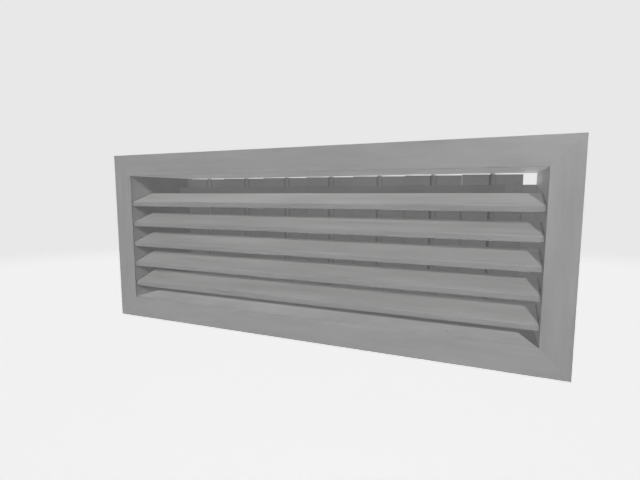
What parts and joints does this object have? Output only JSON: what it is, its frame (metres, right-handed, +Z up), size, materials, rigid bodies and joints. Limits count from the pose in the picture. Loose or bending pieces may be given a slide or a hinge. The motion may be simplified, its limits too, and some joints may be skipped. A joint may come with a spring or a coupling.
{
  "type": "louvred air grille",
  "caption": "Rectangular air grille with a mitred flange, adjustable horizontal louvres and a multi-blade damper in a sleeve behind them.",
  "frame": {"origin": "centre of the opening, in the plane of the wall face that the flange closes against", "axes": "+X across the grille to the right seen from the room, +Y into the wall along the duct, +Z up"},
  "size_m": [0.5, 0.112, 0.2],
  "materials": {
    "flange_coat": "light grey satin powder coat with faint mottling",
    "louvre_coat": "light grey satin powder coat with faint lengthwise streaks",
    "sleeve_coat": "grey matt coat on steel sheet",
    "damper_coat": "darker grey matt coat",
    "link_coat": "grey matt coat on steel strip",
    "shaft_steel": "drawn bright steel",
    "rivet_metal": "bare aluminium",
    "key_metal": "pressed aluminium, matt",
    "bush_nylon": "black moulded nylon",
    "cap_nylon": "grey moulded nylon",
    "clip_nylon": "black moulded nylon",
    "knob_nylon": "black moulded nylon, fine texture",
    "gasket_foam": "closed-cell foam"
  },
  "bodies": {
    "grille_body": {"frame_top": "flange_coat", "frame_bottom": "flange_coat", "frame_left": "flange_coat", "frame_right": "flange_coat", "corner_keys": "key_metal", "gasket_top": "gasket_foam", "gasket_bottom": "gasket_foam", "gasket_left": "gasket_foam", "gasket_right": "gasket_foam", "sleeve_top": "sleeve_coat", "sleeve_bottom": "sleeve_coat", "sleeve_left": "sleeve_coat", "sleeve_right": "sleeve_coat", "neck_rivets": "rivet_metal", "corner_rivets": "rivet_metal", "louvre_bushes_left": "bush_nylon", "louvre_bushes_right": "bush_nylon", "damper_bushes_top": "bush_nylon", "damper_bushes_bottom": "bush_nylon"},
    "louvre_1": {"louvre_blade_1": "louvre_coat", "louvre_end_caps_1": "cap_nylon"},
    "louvre_2": {"louvre_blade_2": "louvre_coat", "louvre_end_caps_2": "cap_nylon"},
    "louvre_3": {"louvre_blade_3": "louvre_coat", "louvre_end_caps_3": "cap_nylon"},
    "louvre_4": {"louvre_blade_4": "louvre_coat", "louvre_end_caps_4": "cap_nylon"},
    "louvre_5": {"louvre_blade_5": "louvre_coat", "louvre_end_caps_5": "cap_nylon"},
    "damper_1": {"damper_blade_1": "damper_coat", "damper_shaft_1": "shaft_steel", "link_clip_1": "clip_nylon"},
    "damper_2": {"damper_blade_2": "damper_coat", "damper_shaft_2": "shaft_steel", "link_clip_2": "clip_nylon"},
    "damper_3": {"damper_blade_3": "damper_coat", "damper_shaft_3": "shaft_steel", "link_clip_3": "clip_nylon"},
    "damper_4": {"damper_blade_4": "damper_coat", "damper_shaft_4": "shaft_steel", "link_clip_4": "clip_nylon"},
    "damper_5": {"damper_blade_5": "damper_coat", "damper_shaft_5": "shaft_steel", "link_clip_5": "clip_nylon"},
    "damper_6": {"damper_blade_6": "damper_coat", "damper_shaft_6": "shaft_steel", "link_clip_6": "clip_nylon"},
    "damper_7": {"damper_blade_7": "damper_coat", "damper_shaft_7": "shaft_steel", "link_clip_7": "clip_nylon"},
    "link": {"link_bar": "link_coat", "lever_knob": "knob_nylon"}
  },
  "joints": [
    {"name": "louvre_1_tilt", "type": "hinge", "parent": "grille_body", "child": "louvre_1", "pos_m": [0, 0.01, 0.045], "axis": [1, 0, 0], "range_deg": [-48, 15]},
    {"name": "louvre_2_tilt", "type": "hinge", "parent": "grille_body", "child": "louvre_2", "pos_m": [0, 0.01, 0.0202], "axis": [1, 0, 0], "range_deg": [-48, 15]},
    {"name": "louvre_3_tilt", "type": "hinge", "parent": "grille_body", "child": "louvre_3", "pos_m": [0, 0.01, -0.0046], "axis": [1, 0, 0], "range_deg": [-48, 15]},
    {"name": "louvre_4_tilt", "type": "hinge", "parent": "grille_body", "child": "louvre_4", "pos_m": [0, 0.01, -0.0294], "axis": [1, 0, 0], "range_deg": [-48, 15]},
    {"name": "louvre_5_tilt", "type": "hinge", "parent": "grille_body", "child": "louvre_5", "pos_m": [0, 0.01, -0.0542], "axis": [1, 0, 0], "range_deg": [-48, 15]},
    {"name": "damper_4_turn", "type": "hinge", "parent": "grille_body", "child": "damper_4", "pos_m": [0, 0.093, 0], "axis": [0, 0, 1], "range_deg": [-13, 63]},
    {"name": "damper_1_turn", "type": "hinge", "parent": "grille_body", "child": "damper_1", "pos_m": [-0.18225, 0.093, 0], "axis": [0, 0, 1], "range_deg": [-13, 63]},
    {"name": "damper_2_turn", "type": "hinge", "parent": "grille_body", "child": "damper_2", "pos_m": [-0.1215, 0.093, 0], "axis": [0, 0, 1], "range_deg": [-13, 63]},
    {"name": "damper_3_turn", "type": "hinge", "parent": "grille_body", "child": "damper_3", "pos_m": [-0.06075, 0.093, 0], "axis": [0, 0, 1], "range_deg": [-13, 63]},
    {"name": "damper_5_turn", "type": "hinge", "parent": "grille_body", "child": "damper_5", "pos_m": [0.06075, 0.093, 0], "axis": [0, 0, 1], "range_deg": [-13, 63]},
    {"name": "damper_6_turn", "type": "hinge", "parent": "grille_body", "child": "damper_6", "pos_m": [0.1215, 0.093, 0], "axis": [0, 0, 1], "range_deg": [-13, 63]},
    {"name": "damper_7_turn", "type": "hinge", "parent": "grille_body", "child": "damper_7", "pos_m": [0.18225, 0.093, 0], "axis": [0, 0, 1], "range_deg": [-13, 63]},
    {"name": "link_swing", "type": "hinge", "parent": "damper_4", "child": "link", "pos_m": [-0.02311, 0.07966, 0.0504], "axis": [0, 0, 1], "range_deg": [-63, 13]}
  ],
  "couplings": [
    {"joint": "damper_1_turn", "follows": "damper_4_turn", "ratio": 1},
    {"joint": "damper_2_turn", "follows": "damper_4_turn", "ratio": 1},
    {"joint": "damper_3_turn", "follows": "damper_4_turn", "ratio": 1},
    {"joint": "damper_5_turn", "follows": "damper_4_turn", "ratio": 1},
    {"joint": "damper_6_turn", "follows": "damper_4_turn", "ratio": 1},
    {"joint": "damper_7_turn", "follows": "damper_4_turn", "ratio": 1},
    {"joint": "link_swing", "follows": "damper_4_turn", "ratio": -1}
  ]
}
